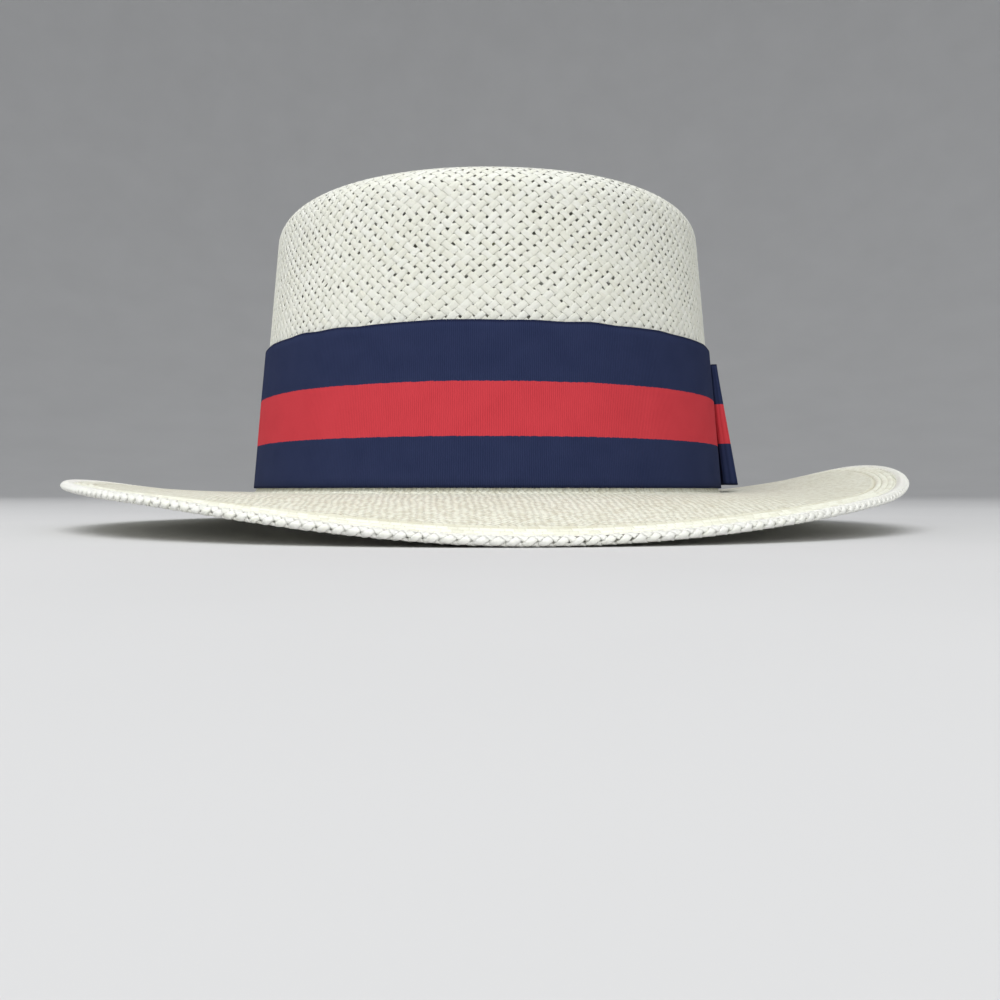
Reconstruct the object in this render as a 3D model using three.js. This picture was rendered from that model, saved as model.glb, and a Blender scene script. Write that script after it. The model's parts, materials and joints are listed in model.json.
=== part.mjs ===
// A straw boater that rests on its brim, in millimetres, +Z up.
// The front of the hat faces -Y and the wearer's left, where the bow sits, is +X.
// The origin lies on the resting surface, below the centre of the rim.
import * as THREE from "three";

// Head oval, measured outside the straw at the head line
const HEAD_HALF_WIDTH = 84.5;
const HEAD_HALF_LENGTH = 104;
const OVAL_FULLNESS = 2.1; // 2 is an ellipse, more is squarer
const HEAD_SET_FORWARD = 4; // the crown sits this far ahead of the rim's centre

// Crown
const STRAW_THICKNESS = 1.6;
const CROWN_HEIGHT = 96; // from the top of the brim to the flat tip
const CROWN_LEAN_DEG = 5; // how far the side wall leans in
const TIP_EDGE_RADIUS = 9;

// Brim
const SIDE_OVERHANG = 64.5; // crown to the outside of the rim, seen from above
const FRONT_BACK_OVERHANG = 58;
const BRIM_CURL = 20; // rise of the rim's highest point above its front
const BRIM_STRAIGHTNESS = 0.35; // share of the rise that is a straight slope, the rest is a curve
const HEAD_LINE_RADIUS = 1.5; // small turn between the brim and the crown's wall
const COLLAR_HEIGHT = 4.5; // wall above the turn that belongs to the brim, hidden by the ribbon
const PLAIT_WIDTH = 4;
const PLAIT_THICKNESS = 2.8;

// Ribbon, bow and sweatband
const RIBBON_WIDTH = 47.5;
const RIBBON_THICKNESS = 1;
const BOW_LENGTH = 84;
const BOW_MARGIN = 1; // the bow's edges lie this far inside the ribbon's
const BOW_CENTRE_DEG = 13; // place of the knot round the oval, from the wearer's left towards the back
const BOW_PUFF = 2.4; // how far each loop swells off its back layer
const BOW_FLARE = 4.4; // how far the lower corners of its ends stand off further than the upper ones
const BOW_PINCH = 0.22; // share of its height that the bow loses under the knot
const PINCH_REACH = 15; // distance from the middle over which the bow regains its height
const KNOT_WIDTH = 17;
const SWEATBAND_HEIGHT = 34;
const SWEATBAND_THICKNESS = 1.2;

const CLEARANCE = 0.3; // between pieces that are sewn against each other
const STEPS_ROUND = 80; // sections round the hat
const FULL_TURN = 2 * Math.PI;

// Rise of the rim above its front, as a share of BRIM_CURL, every 45 degrees from the wearer's left
const RIM_RISE = [
  { towards: "left", share: 1.0 },
  { towards: "back left", share: 0.22 },
  { towards: "back", share: 0.0 },
  { towards: "back right", share: 0.3 },
  { towards: "right", share: 0.7 },
  { towards: "front right", share: 0.49 },
  { towards: "front", share: 0.0 },
  { towards: "front left", share: 0.43 },
];

const lean = Math.tan(THREE.MathUtils.degToRad(CROWN_LEAN_DEG));
const rimHalfWidth = HEAD_HALF_WIDTH + SIDE_OVERHANG;
const rimHalfLength = HEAD_HALF_LENGTH + FRONT_BACK_OVERHANG;
const anglesRound = Array.from({ length: STEPS_ROUND }, (_, i) => (i / STEPS_ROUND) * FULL_TURN);

// Evenly spaced values from first to last, both included.
const spread = (first, last, steps) =>
  Array.from({ length: steps + 1 }, (_, i) => THREE.MathUtils.lerp(first, last, i / steps));

// A smooth closed curve through the shares of RIM_RISE.
function rimRise(angle) {
  const place = ((angle / FULL_TURN) * RIM_RISE.length) % RIM_RISE.length;
  const first = Math.floor(place);
  const t = place - first;
  const share = (k) => RIM_RISE[(first + k + RIM_RISE.length) % RIM_RISE.length].share;
  const [a, b, c, d] = [share(-1), share(0), share(1), share(2)];
  const curve = b + 0.5 * t * (c - a + t * (2 * a - 5 * b + 4 * c - d + t * (3 * (b - c) + d - a)));
  return BRIM_CURL * curve;
}

const lowestRise = Math.min(...anglesRound.map(rimRise));
const rimCentreHeight = (angle) => PLAIT_THICKNESS / 2 + rimRise(angle) - lowestRise;
// The brim leaves the crown level with the middle of the rim's rise.
const headLine = PLAIT_THICKNESS / 2 + BRIM_CURL / 2 + STRAW_THICKNESS / 2;
const collarTop = HEAD_LINE_RADIUS + COLLAR_HEIGHT;
const ribbonFoot = HEAD_LINE_RADIUS; // the ribbon stands on the turn

// Point of an oval in plan, moved outwards along its normal.
function ovalPoint(halfWidth, halfLength, fullness, angle, outset = 0) {
  const c = Math.cos(angle);
  const s = Math.sin(angle);
  const power = 2 / fullness;
  const x = halfWidth * Math.sign(c) * Math.abs(c) ** power;
  const y = halfLength * Math.sign(s) * Math.abs(s) ** power;
  const normal = new THREE.Vector2(
    (Math.sign(c) * Math.abs(c) ** (2 - power)) / halfWidth,
    (Math.sign(s) * Math.abs(s) ** (2 - power)) / halfLength,
  ).normalize();
  return new THREE.Vector2(x, y).addScaledVector(normal, outset);
}

// Point on the crown's outer wall at a height above the head line, moved outwards by outset.
function wallPoint(angle, height, outset = 0) {
  const inward = lean * height;
  const plan = ovalPoint(
    HEAD_HALF_WIDTH - inward,
    HEAD_HALF_LENGTH - inward,
    OVAL_FULLNESS,
    angle,
    outset,
  );
  return new THREE.Vector3(plan.x, plan.y - HEAD_SET_FORWARD, headLine + height);
}

const rimPlan = (angle, inset) => ovalPoint(rimHalfWidth, rimHalfLength, 2, angle, -inset);

// Surface through sections that follow each other round the hat, the last joined to the first.
// A section is a closed loop of points, or with open true a line that starts and ends on the axis.
function roundAndRound(sections, open = false) {
  const positions = [];
  const addTriangle = (a, b, c) => {
    if (a.distanceTo(b) > 1e-6 && b.distanceTo(c) > 1e-6 && c.distanceTo(a) > 1e-6) {
      positions.push(...a.toArray(), ...b.toArray(), ...c.toArray());
    }
  };
  const perSection = sections[0].length;
  const strips = open ? perSection - 1 : perSection;
  sections.forEach((section, i) => {
    const next = sections[(i + 1) % sections.length];
    for (let j = 0; j < strips; j++) {
      const k = (j + 1) % perSection;
      addTriangle(section[j], next[j], next[k]);
      addTriangle(section[j], next[k], section[k]);
    }
  });
  const geometry = new THREE.BufferGeometry();
  geometry.setAttribute("position", new THREE.Float32BufferAttribute(positions, 3));
  geometry.computeVertexNormals();
  return geometry;
}

function piece(name, geometry, colour, roughness) {
  const material = new THREE.MeshStandardMaterial({ color: colour, roughness, metalness: 0 });
  const mesh = new THREE.Mesh(geometry, material);
  mesh.name = name;
  return mesh;
}

const STRAW = 0xe9e8da;
const NAVY = 0x232b4d;
const BEIGE = 0xcfc6b4;

// Crown: a hollow shell with a leaning wall, a rounded edge and a flat tip, open below.
function crown() {
  const foot = collarTop + CLEARANCE;
  const shoulder = CROWN_HEIGHT - TIP_EDGE_RADIUS;
  const wallRows = 4;
  const edgeRows = 5;
  const tipRings = [0.75, 0.4];
  // One skin of the shell from the foot up to the tip's centre, inset below the outer skin.
  const side = (angle, inset) => {
    const radius = TIP_EDGE_RADIUS - inset;
    const wall = spread(foot, shoulder, wallRows).map((height) => wallPoint(angle, height, -inset));
    const roundedEdge = spread(0, Math.PI / 2, edgeRows).slice(1).map((turn) => {
      const point = wallPoint(angle, shoulder, -inset - radius * (1 - Math.cos(turn)));
      point.z = headLine + shoulder + radius * Math.sin(turn);
      return point;
    });
    const centre = new THREE.Vector3(0, -HEAD_SET_FORWARD, headLine + CROWN_HEIGHT - inset);
    const tip = tipRings.map((share) => centre.clone().lerp(roundedEdge.at(-1), share));
    return [...wall, ...roundedEdge, ...tip, centre];
  };
  // Each section runs from the inner centre down the inside and up the outside.
  return roundAndRound(
    anglesRound.map((angle) => [...side(angle, STRAW_THICKNESS).reverse(), ...side(angle, 0)]),
    true,
  );
}

// Brim: a curled sheet whose inner edge turns up into a short collar under the crown's wall.
function brim() {
  const sheetRows = 7;
  const turnRows = 3;
  const edgeInset = PLAIT_WIDTH + CLEARANCE;
  // One skin from the collar to the edge: depth is 0 on the upper and outer skin.
  const skinLine = (angle, depth) => {
    const radius = HEAD_LINE_RADIUS + depth;
    const turnPoints = spread(0, Math.PI / 2, turnRows).map((turn) => {
      const outwards = radius * (1 - Math.cos(turn)) - depth;
      return wallPoint(angle, HEAD_LINE_RADIUS - radius * Math.sin(turn), outwards);
    });
    const start = turnPoints.at(-1);
    const rim = rimPlan(angle, edgeInset);
    const rise = rimCentreHeight(angle) + STRAW_THICKNESS / 2 - headLine;
    const sheet = spread(0, 1, sheetRows).slice(1).map((s) => {
      const curl = BRIM_STRAIGHTNESS * s + (1 - BRIM_STRAIGHTNESS) * s * s;
      const x = THREE.MathUtils.lerp(start.x, rim.x, s);
      const y = THREE.MathUtils.lerp(start.y, rim.y, s);
      return new THREE.Vector3(x, y, headLine - depth + rise * curl);
    });
    return [wallPoint(angle, collarTop, -depth), ...turnPoints, ...sheet];
  };
  return roundAndRound(
    anglesRound.map((angle) => [
      ...skinLine(angle, STRAW_THICKNESS),
      ...skinLine(angle, 0).reverse(),
    ]),
  );
}

// Edge plait: the braided ridge that finishes the rim, with a rounded section.
function edgePlait() {
  const corners = 8;
  return roundAndRound(
    anglesRound.map((angle) =>
      Array.from({ length: corners }, (_, i) => {
        const turn = ((i + 0.5) / corners) * FULL_TURN;
        const reach = 1 / Math.cos(Math.PI / corners); // flats, not corners, lie at full width
        const across = (PLAIT_WIDTH / 2) * (1 - reach * Math.cos(turn));
        const plan = rimPlan(angle, across);
        const up = (PLAIT_THICKNESS / 2) * reach * Math.sin(turn);
        return new THREE.Vector3(plan.x, plan.y, rimCentreHeight(angle) + up);
      }),
    ),
  );
}

// A band that lies along the crown's wall between two heights, inside or outside it.
function wallBand(low, high, near, far) {
  return roundAndRound(
    anglesRound.map((angle) => [
      wallPoint(angle, low, near),
      wallPoint(angle, low, far),
      wallPoint(angle, high, far),
      wallPoint(angle, high, near),
    ]),
  );
}

const ribbonBand = () =>
  wallBand(ribbonFoot, ribbonFoot + RIBBON_WIDTH, CLEARANCE, CLEARANCE + RIBBON_THICKNESS);

const sweatband = () => {
  const outer = -STRAW_THICKNESS - CLEARANCE;
  const low = -STRAW_THICKNESS;
  return wallBand(low, low + SWEATBAND_HEIGHT, outer - SWEATBAND_THICKNESS, outer);
};

// The bow is drawn flat and then laid on the ribbon: along runs round the hat from the knot
// towards the back, up from the ribbon's middle, and out from the ribbon's outer face.
const bowCentreAngle = THREE.MathUtils.degToRad(BOW_CENTRE_DEG);
const bowMiddle = ribbonFoot + RIBBON_WIDTH / 2;
const bowHalfHeight = RIBBON_WIDTH / 2 - BOW_MARGIN;
const loopHalfHeight = (along) =>
  bowHalfHeight * (1 - BOW_PINCH * Math.exp(-((along / PINCH_REACH) ** 2)));

// Angle round the oval at a distance along the ribbon, found by walking there in small steps.
function angleAlong(along) {
  const steps = 40;
  const probe = 0.01;
  let angle = bowCentreAngle;
  for (let i = 0; i < steps; i++) {
    const here = wallPoint(angle, bowMiddle);
    const arcPerRadian = here.distanceTo(wallPoint(angle + probe, bowMiddle)) / probe;
    angle += along / steps / arcPerRadian;
  }
  return angle;
}

const onRibbon = (along, up, out) =>
  wallPoint(angleAlong(along), bowMiddle + up, CLEARANCE + RIBBON_THICKNESS + out);

// Distances out from the ribbon to the middle of each layer under the knot.
const layer = RIBBON_THICKNESS + CLEARANCE;
const knotBack = CLEARANCE + RIBBON_THICKNESS / 2;
const loopBack = knotBack + layer;
const loopFront = loopBack + layer;
const knotFront = loopFront + layer;

// Bow loops: one length of ribbon folded into a flat ring, pinched in the middle.
function bowLoops() {
  const halfLength = BOW_LENGTH / 2;
  const foldRadius = layer / 2;
  const reach = halfLength - foldRadius - RIBBON_THICKNESS / 2;
  // The front layer lies flat under the knot and swells off the back layer on both sides of it.
  const frontAt = (along) => {
    const share = (Math.abs(along) - KNOT_WIDTH / 2) / (reach - KNOT_WIDTH / 2);
    return loopFront + BOW_PUFF * Math.sin(Math.PI * Math.max(0, share)) ** 2;
  };
  const fold = (side) =>
    spread(-Math.PI / 2, Math.PI / 2, 4).slice(1, -1).map((turn) => ({
      along: side * (reach + foldRadius * Math.cos(turn)),
      out: loopBack + foldRadius + foldRadius * Math.sin(turn),
      normalAlong: side * Math.cos(turn),
      normalOut: Math.sin(turn),
    }));
  const backLayer = spread(-reach, reach, 14).map((along) => (
    { along, out: loopBack, normalAlong: 0, normalOut: -1 }
  ));
  const frontLayer = spread(reach, -reach, 20).map((along) => (
    { along, out: frontAt(along), normalAlong: 0, normalOut: 1 }
  ));
  const path = [...backLayer, ...fold(1), ...frontLayer, ...fold(-1).reverse()];
  const sections = path.map(({ along, out, normalAlong, normalOut }) => {
    const half = loopHalfHeight(along);
    const t = RIBBON_THICKNESS / 2;
    const flareAt = (up) => (BOW_FLARE * Math.abs(along / halfLength) ** 3 * (1 - up / half)) / 2;
    const corner = (side, up) =>
      onRibbon(along + side * t * normalAlong, up, out + side * t * normalOut + flareAt(up));
    return [corner(1, -half), corner(-1, -half), corner(-1, half), corner(1, half)];
  });
  return roundAndRound(sections);
}

// Knot: a short ribbon wrapped round the pinched middle of the loops.
function bowKnot() {
  const half = loopHalfHeight(KNOT_WIDTH / 2) + 2 * CLEARANCE + RIBBON_THICKNESS / 2;
  const middle = (knotBack + knotFront) / 2;
  const depth = (knotFront - knotBack) / 2;
  const turnOver = (side) =>
    spread((-side * Math.PI) / 2, (side * Math.PI) / 2, 4).map((turn) => ({
      up: side * (half - (depth / 2) * (1 - Math.cos(turn))),
      out: middle + depth * Math.sin(turn),
      normalUp: side * Math.cos(turn),
      normalOut: Math.sin(turn),
    }));
  const path = [...turnOver(1), ...turnOver(-1)];
  const sections = path.map(({ up, out, normalUp, normalOut }) => {
    const t = RIBBON_THICKNESS / 2;
    const w = KNOT_WIDTH / 2;
    const corner = (side, along) =>
      onRibbon(along, up + side * t * normalUp, out + side * t * normalOut);
    return [corner(1, w), corner(-1, w), corner(-1, 0), corner(-1, -w), corner(1, -w), corner(1, 0)];
  });
  return roundAndRound(sections);
}

const hat = new THREE.Group();
hat.add(
  piece("crown", crown(), STRAW, 0.75),
  piece("brim", brim(), STRAW, 0.75),
  piece("edge_plait", edgePlait(), STRAW, 0.7),
  piece("ribbon_band", ribbonBand(), NAVY, 0.85),
  piece("bow_loops", bowLoops(), NAVY, 0.85),
  piece("bow_knot", bowKnot(), NAVY, 0.85),
  piece("sweatband", sweatband(), BEIGE, 0.8),
);

export default hat;
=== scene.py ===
# %% [markdown]
# # A straw boater with a striped ribbon
#
# A boater is a stiff straw hat: an oval crown with a flat tip, a brim, a plaited edge and a
# ribbon with a flat bow. This one has an open diagonal weave in the crown and a close weave in the
# brim. The lesson builds each piece over the solid model of the same hat, which is loaded first
# and fixes every size and place. The solids keep their place, and each one is replaced by a
# piece with the strands, ribs, folds and stitches of the real thing.

# %% Load the solid model
import json
import math

import bpy
import numpy as np
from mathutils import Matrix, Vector

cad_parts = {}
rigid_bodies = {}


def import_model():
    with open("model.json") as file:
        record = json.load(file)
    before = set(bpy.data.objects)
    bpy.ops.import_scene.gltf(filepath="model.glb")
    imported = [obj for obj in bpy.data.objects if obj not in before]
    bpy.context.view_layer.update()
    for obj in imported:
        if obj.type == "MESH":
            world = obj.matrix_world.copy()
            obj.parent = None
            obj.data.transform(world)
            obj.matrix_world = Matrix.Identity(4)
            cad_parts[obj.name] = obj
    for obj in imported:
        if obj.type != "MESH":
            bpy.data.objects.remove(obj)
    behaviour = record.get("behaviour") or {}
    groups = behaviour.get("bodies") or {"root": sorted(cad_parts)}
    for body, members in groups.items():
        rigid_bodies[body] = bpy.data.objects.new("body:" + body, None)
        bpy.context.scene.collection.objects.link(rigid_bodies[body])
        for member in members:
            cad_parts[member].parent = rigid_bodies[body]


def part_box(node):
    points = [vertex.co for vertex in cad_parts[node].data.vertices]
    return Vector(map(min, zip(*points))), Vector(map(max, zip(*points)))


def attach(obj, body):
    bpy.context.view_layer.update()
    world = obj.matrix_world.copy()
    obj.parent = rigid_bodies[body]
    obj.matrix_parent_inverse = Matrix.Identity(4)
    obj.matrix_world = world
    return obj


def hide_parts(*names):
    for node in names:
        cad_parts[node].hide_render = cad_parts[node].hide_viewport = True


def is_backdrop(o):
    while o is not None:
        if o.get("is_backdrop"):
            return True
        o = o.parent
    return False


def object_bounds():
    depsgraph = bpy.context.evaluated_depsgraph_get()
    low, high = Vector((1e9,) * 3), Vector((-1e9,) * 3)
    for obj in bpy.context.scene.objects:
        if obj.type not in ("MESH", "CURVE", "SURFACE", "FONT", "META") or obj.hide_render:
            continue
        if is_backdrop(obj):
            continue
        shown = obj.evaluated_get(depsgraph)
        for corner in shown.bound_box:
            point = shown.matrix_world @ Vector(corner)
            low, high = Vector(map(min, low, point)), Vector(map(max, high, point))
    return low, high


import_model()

MM = 0.001
solid_box = [list(corner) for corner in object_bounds()]
print("solid model, metres:", solid_box)

# %% [markdown]
# ## The shape that everything lies on
#
# A block gives a real hat its form: a slightly squared oval at the head line, a wall that leans in
# by a few degrees, a rounded edge and a flat tip. Every strand and every ribbon lies on that form,
# so it is written once, as functions from a place on the hat to a point in space. The share runs
# from 0 to 1 round the hat, from the wearer's left over the back, and it is measured along the
# oval, so that equal steps of share are equal lengths of straw.

# %% Sizes
HEAD_HALF_WIDTH = 84.5 * MM
HEAD_HALF_LENGTH = 104 * MM
OVAL_FULLNESS = 2.1  # 2 is an ellipse, more is squarer
CROWN_LEAN = math.radians(5)
TIP_EDGE_RADIUS = 9 * MM
STRAW_THICKNESS = 1.6 * MM
HEAD_LINE_RADIUS = 1.5 * MM  # the small turn between brim and wall
COLLAR_HEIGHT = 6 * MM
RIBBON_GAP = 0.3 * MM

ribbon_low, ribbon_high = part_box("ribbon_band")
crown_low, crown_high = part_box("crown")
rim_low, rim_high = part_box("edge_plait")
head_line = ribbon_low[2] - HEAD_LINE_RADIUS
crown_height = crown_high[2] - head_line
crown_y = (crown_low[1] + crown_high[1]) / 2
rim_half_width = (rim_high[0] - rim_low[0]) / 2
rim_half_length = (rim_high[1] - rim_low[1]) / 2
print(f"head line {head_line / MM:.1f} mm up, crown {crown_height / MM:.1f} mm high")

# %% The oval and the places round it
FULL_TURN = 2 * math.pi


def oval(half_width, half_length, fullness, angle, outset=0.0):
    """Points of an oval in plan, moved outwards along its normal."""
    c, s = np.cos(angle), np.sin(angle)
    power = 2 / fullness
    x = half_width * np.sign(c) * np.abs(c) ** power
    y = half_length * np.sign(s) * np.abs(s) ** power
    nx = np.sign(c) * np.abs(c) ** (2 - power) / half_width
    ny = np.sign(s) * np.abs(s) ** (2 - power) / half_length
    reach = np.hypot(nx, ny)
    return x + outset * nx / reach, y + outset * ny / reach


fine_angles = np.linspace(0, FULL_TURN, 4001)
fine_x, fine_y = oval(HEAD_HALF_WIDTH, HEAD_HALF_LENGTH, OVAL_FULLNESS, fine_angles)
fine_run = np.concatenate([[0], np.cumsum(np.hypot(np.diff(fine_x), np.diff(fine_y)))])
head_round = fine_run[-1]


def angle_at(share):
    """The oval's angle at a share of the way round it."""
    return np.interp(np.mod(share, 1.0), fine_run / head_round, fine_angles)


print(f"round the straw at the head line: {head_round / MM:.0f} mm")

# %% The crown's skin
lean_slope = math.tan(CROWN_LEAN)
shoulder = crown_height - TIP_EDGE_RADIUS * (1 - math.sin(CROWN_LEAN))
wall_run = shoulder / math.cos(CROWN_LEAN)
edge_run = wall_run + TIP_EDGE_RADIUS * (math.pi / 2 - CROWN_LEAN)
tip_inset = lean_slope * shoulder + TIP_EDGE_RADIUS * math.cos(CROWN_LEAN)
tip_reach = (HEAD_HALF_WIDTH + HEAD_HALF_LENGTH) / 2 - tip_inset


def crown_point(share, run, out=0.0):
    """A point of the crown: run is the length of straw up from the head line, over the edge and
    in towards the middle of the tip, and out is the distance off the outer skin."""
    height = np.clip(run, 0, wall_run) * math.cos(CROWN_LEAN)
    turn = CROWN_LEAN + np.clip((run - wall_run) / TIP_EDGE_RADIUS, 0, math.pi / 2 - CROWN_LEAN)
    inset = TIP_EDGE_RADIUS * (math.cos(CROWN_LEAN) - np.cos(turn))
    shrink = 1 - np.clip((run - edge_run) / tip_reach, 0, 1)
    inward = lean_slope * height
    x, y = oval(
        HEAD_HALF_WIDTH - inward, HEAD_HALF_LENGTH - inward, OVAL_FULLNESS, angle_at(share),
        out * np.cos(turn) - inset,
    )
    z = head_line + height + TIP_EDGE_RADIUS * (np.sin(turn) - math.sin(CROWN_LEAN))
    place = np.broadcast_arrays(x * shrink, y * shrink + crown_y, z + out * np.sin(turn))
    return np.stack(place, axis=-1)


def wall_point(share, height, out=0.0):
    """A point off the leaning wall at a height above the head line, which may be below it."""
    inward = lean_slope * height
    x, y = oval(
        HEAD_HALF_WIDTH - inward, HEAD_HALF_LENGTH - inward, OVAL_FULLNESS, angle_at(share), out
    )
    return np.stack(np.broadcast_arrays(x, y + crown_y, head_line + height), axis=-1)


print(f"straw from head line to the middle of the tip: {(edge_run + tip_reach) / MM:.0f} mm")

# %% [markdown]
# ## Sheets, rods and copies
#
# Straw, ribbon and braid are all long thin things that repeat, so they start in the same way. A grid
# is added one unit long and one unit wide, and an Array modifier copies it sideways when a
# piece has many equal strands. Then each corner's place along and across is turned into a
# place on the hat. A grid whose two long sides meet becomes a rod, and one whose ends meet
# becomes a ring. The meeting corners are merged, and the normals are made to point out.


# %% Helpers for grids
def points_of(piece):
    flat = np.empty(len(piece.data.vertices) * 3)
    piece.data.vertices.foreach_get("co", flat)
    return flat.reshape(-1, 3)


def place_points(piece, points):
    piece.data.vertices.foreach_set("co", np.ascontiguousarray(points).ravel())
    piece.data.update()


def cells(name, along, across, copies=1):
    """A grid with its copies, and for each corner its copy's number and its place in 0 to 1 along
    and across."""
    bpy.ops.object.select_all(action="DESELECT")
    bpy.ops.mesh.primitive_grid_add(
        x_subdivisions=along, y_subdivisions=across, size=1, location=(0.5, 0.5, 0)
    )
    piece = bpy.context.object
    piece.name = name
    bpy.ops.object.transform_apply(location=True, rotation=True, scale=True)
    if copies > 1:
        array = piece.modifiers.new("copies", "ARRAY")
        array.use_relative_offset = False
        array.use_constant_offset = True
        array.constant_offset_displace = (0, 2, 0)
        array.count = copies
        bpy.ops.object.modifier_apply(modifier=array.name)
    points = points_of(piece)
    copy = np.floor(points[:, 1] / 2 + 0.25)
    return piece, copy, points[:, 0], points[:, 1] - 2 * copy


def lay_uv(piece, u, v):
    """Gives every corner its place in the pattern."""
    corners = np.empty(len(piece.data.loops), dtype=np.int32)
    piece.data.loops.foreach_get("vertex_index", corners)
    pattern = np.stack(np.broadcast_arrays(u, v), axis=1)[corners]
    piece.data.uv_layers.active.data.foreach_set("uv", pattern.ravel())


def close_up(piece, distance=0.002 * MM, inside=False):
    """Merges corners that meet and turns all faces outwards, or inwards where inside is true."""
    bpy.ops.object.select_all(action="DESELECT")
    piece.select_set(True)
    bpy.context.view_layer.objects.active = piece
    bpy.ops.object.mode_set(mode="EDIT")
    bpy.ops.mesh.select_all(action="SELECT")
    bpy.ops.mesh.remove_doubles(threshold=distance)
    bpy.ops.mesh.normals_make_consistent(inside=inside)
    bpy.ops.object.mode_set(mode="OBJECT")
    bpy.ops.object.shade_smooth()


def apply_modifier(piece, kind, **settings):
    bpy.ops.object.select_all(action="DESELECT")
    piece.select_set(True)
    bpy.context.view_layer.objects.active = piece
    modifier = piece.modifiers.new(kind.lower(), kind)
    for key, value in settings.items():
        setattr(modifier, key, value)
    bpy.ops.object.modifier_apply(modifier=modifier.name)


def join(name, pieces):
    bpy.ops.object.select_all(action="DESELECT")
    for piece in pieces:
        piece.select_set(True)
    bpy.context.view_layer.objects.active = pieces[0]
    bpy.ops.object.join()
    bpy.context.object.name = name
    return bpy.context.object


def triangles(piece):
    return sum(len(face.vertices) - 2 for face in piece.data.polygons)


def wander(seed, rows, length, spacing):
    """Smooth random values round 0, a line of them for each strand, read at (strand, place)."""
    knots = np.random.default_rng(seed).normal(size=(rows, int(length / spacing) + 3))

    def read(row, place):
        step = np.asarray(place) / spacing
        first = np.clip(np.floor(step).astype(int), 0, knots.shape[1] - 2)
        part = step - first
        part = part * part * (3 - 2 * part)
        row = np.asarray(row).astype(int) % rows
        return knots[row, first] * (1 - part) + knots[row, first + 1] * part

    return read


# %% [markdown]
# ## The crown: an open diagonal weave
#
# The crown is woven from flat strands of straw that run up the wall in both slanting directions and
# pass over and under each other. They don't quite touch, so a small diamond stays open at each
# crossing. A bump map can't be seen through, so these strands are real. One family leans
# to the left and one to the right, 144 strands in each, and each strand waves out and in at
# its crossings. A hand doesn't weave evenly: each strand wanders a little, some rows
# lie closer than others, and the weave closes up towards the ribbon.

# %% Sizes of the weave
STRANDS_ROUND = 144
ROW_RATIO = 0.825  # height of a diamond as a share of its width
STRAND_FILL = 0.77  # width of a strand as a share of its spacing
STRAND_THICKNESS = 0.16 * MM
STRAND_WAVE = 0.085 * MM  # how far a strand swings out and in
WEAVE_DEPTH = 0.4 * MM  # middle of the weave below the outer skin
WEAVE_START = 30 * MM  # below this, ribbon and sweatband hide the straw
CLOSING_REACH = 9 * MM  # the weave closes up over this height above the ribbon
STRAND_FLATNESS = 0.2  # power of the strand's section: 1 is round, less is flatter
PATCHES_ROUND = 24  # denser and more open places of the weave, round the crown
ROW_SEED, PATCH_SEED = 91, 17
TIP_RINGS = [0.9, 0.6, 0.4, 0.27, 0.18, 0.11, 0.06]  # shares of the tip's oval, from outside in

run_samples = np.linspace(0, edge_run + tip_reach * (1 - TIP_RINGS[-1]), 360)
share_samples = np.linspace(0, 1, 721)
loops = crown_point(share_samples[None, :], run_samples[:, None])
rounds = np.linalg.norm(np.diff(loops, axis=1), axis=2).sum(axis=1)
row_lengths = ROW_RATIO * rounds / 2  # straw per crossing for a single strand round the hat
crossing_count = np.concatenate(
    [[0], np.cumsum(np.diff(run_samples) / ((row_lengths[1:] + row_lengths[:-1]) / 2))]
)


def ring_run(share):
    """Length of straw up to the oval that is this share of the tip's."""
    return edge_run + tip_reach * (1 - share)


print(f"strand spacing on the wall: {rounds[150] / STRANDS_ROUND / MM:.2f} mm")


# %% One family of strands
def strand_family(name, count, first_run, last_run, way, seed):
    """Strands that lean one way (way 1 or -1), from one run to another."""
    first, last = np.interp([first_run, last_run], run_samples, crossing_count) * count
    first, last = first - 0.5, last + 0.5  # the pinched ends lie under what covers them
    steps = max(4, round(2 * (last - first)))
    piece, strand, along, round_it = cells(name, steps, 6, copies=count)
    crossing = first + along * (last - first)
    middle_run = np.interp(crossing / count, crossing_count, run_samples)
    circle = np.interp(middle_run, run_samples, rounds)
    pitch = circle / count
    # how the weave varies: from strand to strand, from row to row and towards the ribbon
    drift = wander(seed, count, last - first, 3)
    swell = wander(seed + 1, count, last - first, 2)
    rows = wander(ROW_SEED, 1, 400, 1)
    patches = wander(PATCH_SEED, PATCHES_ROUND, 60, 6)
    above_ribbon = middle_run - (ribbon_high[2] - head_line)
    near_ribbon = np.clip(1.6 - above_ribbon / CLOSING_REACH, 0, 1)
    local = crossing - first
    patch = patches(strand * PATCHES_ROUND / count, local / 2)
    fill = STRAND_FILL + 0.035 * patch + 0.065 * swell(strand, local) + 0.07 * near_ribbon
    fill = np.clip(fill, 0.55, 0.92)
    # the strand's own section: a flat rounded lens, pinched shut at both ends
    slant = math.hypot(ROW_RATIO / 2, 0.5)
    spacing = pitch * (ROW_RATIO / 2) / slant
    ends = (along > 1e-6) & (along < 1 - 1e-6)
    phase = FULL_TURN * round_it
    across = np.sign(np.cos(phase)) * np.abs(np.cos(phase)) ** STRAND_FLATNESS
    across = across * fill * spacing / 2 * ends
    lift = np.sin(phase) * STRAND_THICKNESS / 2 * ends
    sideways = -across * (ROW_RATIO / 2) / slant + 0.055 * pitch * drift(strand, local)
    row_shift = rows(0 * strand, crossing * STRANDS_ROUND / count)
    up = way * across * 0.5 / slant + 0.05 * pitch * row_shift
    share = (strand + way * crossing / 2) / count + sideways / circle
    out = way * STRAND_WAVE * np.cos(math.pi * crossing) + lift - WEAVE_DEPTH
    lay_uv(piece, crossing, strand * 1.37 + 0.2 * round_it)
    place_points(piece, crown_point(share, middle_run + up, out))
    close_up(piece)
    return piece


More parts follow.
